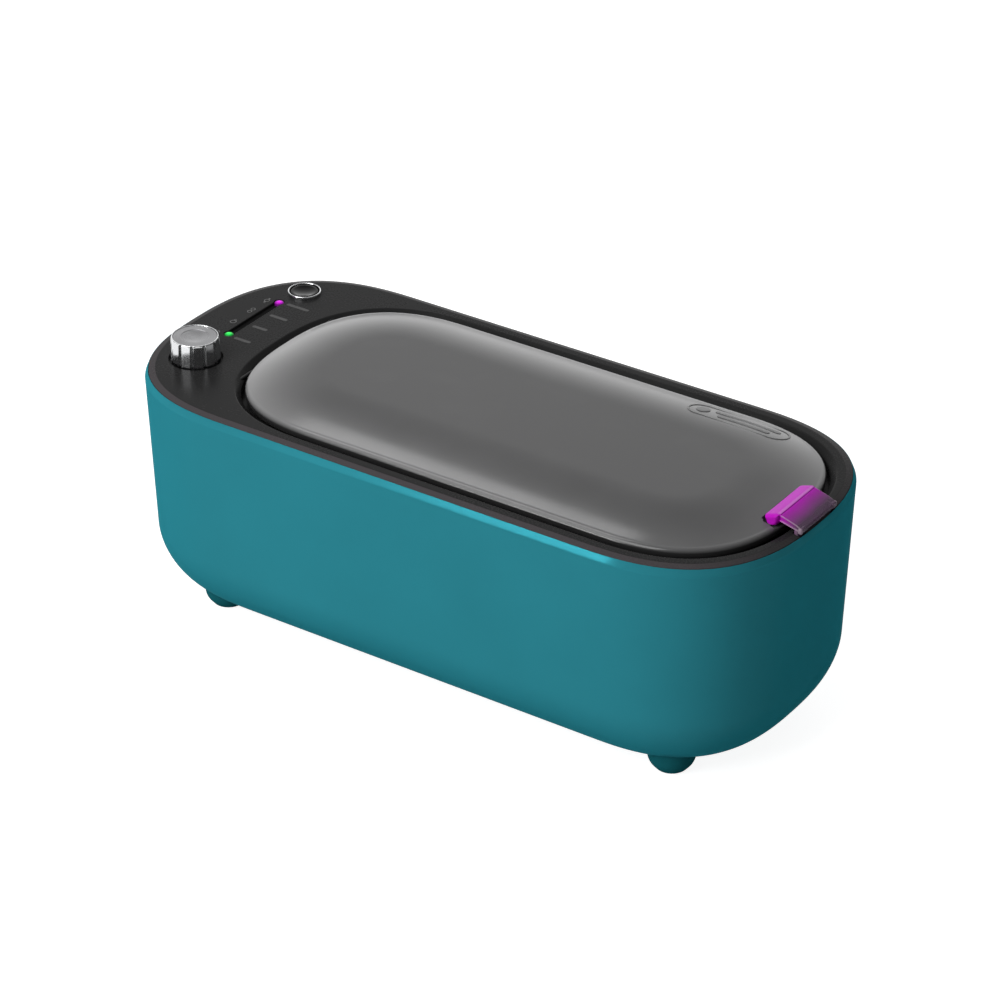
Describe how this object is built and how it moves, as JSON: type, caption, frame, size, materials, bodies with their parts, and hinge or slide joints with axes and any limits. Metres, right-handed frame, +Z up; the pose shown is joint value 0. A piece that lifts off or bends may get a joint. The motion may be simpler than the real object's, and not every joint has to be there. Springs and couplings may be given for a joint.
{
  "type": "ultrasonic cleaner",
  "caption": "Compact ultrasonic cleaner: rounded tub on feet, black top panel with knob and button, hinged smoked lid with a clasp over a steel tank.",
  "frame": {"origin": "on the surface it stands on, under the middle of the body", "axes": "+X along the body from the controls to the clasp, +Z up, -Y towards the side nearer the knob"},
  "size_m": [0.21, 0.0932, 0.081],
  "materials": {
    "shell_plastic": "satin",
    "panel_plastic": "satin",
    "lid_plastic": "polished, smoked",
    "clasp_plastic": "polished, tinted clear",
    "chrome": "polished",
    "brushed_cap": "turned, satin",
    "steel": "machined",
    "tank_steel": "brushed",
    "rubber": "matt",
    "silicone": "matt",
    "button_plastic": "polished",
    "green_light": "clear, lit",
    "magenta_light": "clear, lit",
    "circuit_board": "solder mask",
    "component_black": "moulded",
    "aluminium": "machined",
    "ceramic": "fired, silvered faces",
    "copper": "bare and enamelled copper",
    "wire": "insulated"
  },
  "bodies": {
    "housing": {"outer_shell": "shell_plastic", "foot_front_left": "shell_plastic", "foot_front_right": "shell_plastic", "foot_rear_left": "shell_plastic", "foot_rear_right": "shell_plastic", "top_panel": "panel_plastic", "light_strip": "panel_plastic", "button_ring": "chrome", "lid_hinge_pin": "steel", "inlet_nut": "steel", "transducer_bolt": "steel", "transducer_back_mass": "steel", "foot_screw_front_left": "steel", "foot_screw_front_right": "steel", "foot_screw_rear_left": "steel", "foot_screw_rear_right": "steel", "driver_board_screw_1": "steel", "driver_board_screw_2": "steel", "driver_board_screw_3": "steel", "driver_board_screw_4": "steel", "control_board_screw_1": "steel", "control_board_screw_2": "steel", "tank": "tank_steel", "foot_pad_front_left": "rubber", "foot_pad_front_right": "rubber", "foot_pad_rear_left": "rubber", "foot_pad_rear_right": "rubber", "tank_gasket": "silicone", "green_light": "green_light", "magenta_light": "magenta_light", "control_board": "circuit_board", "driver_board": "circuit_board", "rotary_switch": "component_black", "button_switch": "component_black", "transformer": "component_black", "capacitor": "component_black", "power_inlet": "component_black", "green_led": "component_black", "magenta_led": "component_black", "transducer_front_mass": "aluminium", "heatsink": "aluminium", "piezo_ring_upper": "ceramic", "piezo_ring_lower": "ceramic", "transducer_electrode": "copper", "choke": "copper", "transducer_lead": "wire", "inlet_lead": "wire", "control_lead": "wire"},
    "lid": {"lid": "lid_plastic", "lid_seal": "silicone", "clasp_pin": "steel"},
    "clasp": {"clasp": "clasp_plastic"},
    "knob": {"knob": "chrome", "knob_cap": "brushed_cap", "knob_shaft": "steel"},
    "power_button": {"power_button": "button_plastic", "switch_plunger": "button_plastic"}
  },
  "joints": [
    {"name": "lid_hinge", "type": "hinge", "parent": "housing", "child": "lid", "pos_m": [-0.071, 0, 0.0728], "axis": [0, -1, 0], "range_deg": [0, 95]},
    {"name": "clasp_hinge", "type": "hinge", "parent": "lid", "child": "clasp", "pos_m": [0.0949, 0, 0.07595], "axis": [0, -1, 0], "range_deg": [0, 70]},
    {"name": "knob_turn", "type": "hinge", "parent": "housing", "child": "knob", "pos_m": [-0.0882, -0.0201, 0.0734], "axis": [0, 0, -1], "range_deg": [0, 90]},
    {"name": "button_press", "type": "slide", "parent": "housing", "child": "power_button", "axis": [0, 0, -1], "range_m": [0, 0.0008], "stiffness_N_per_m": 900, "springref_m": -0.0006}
  ]
}
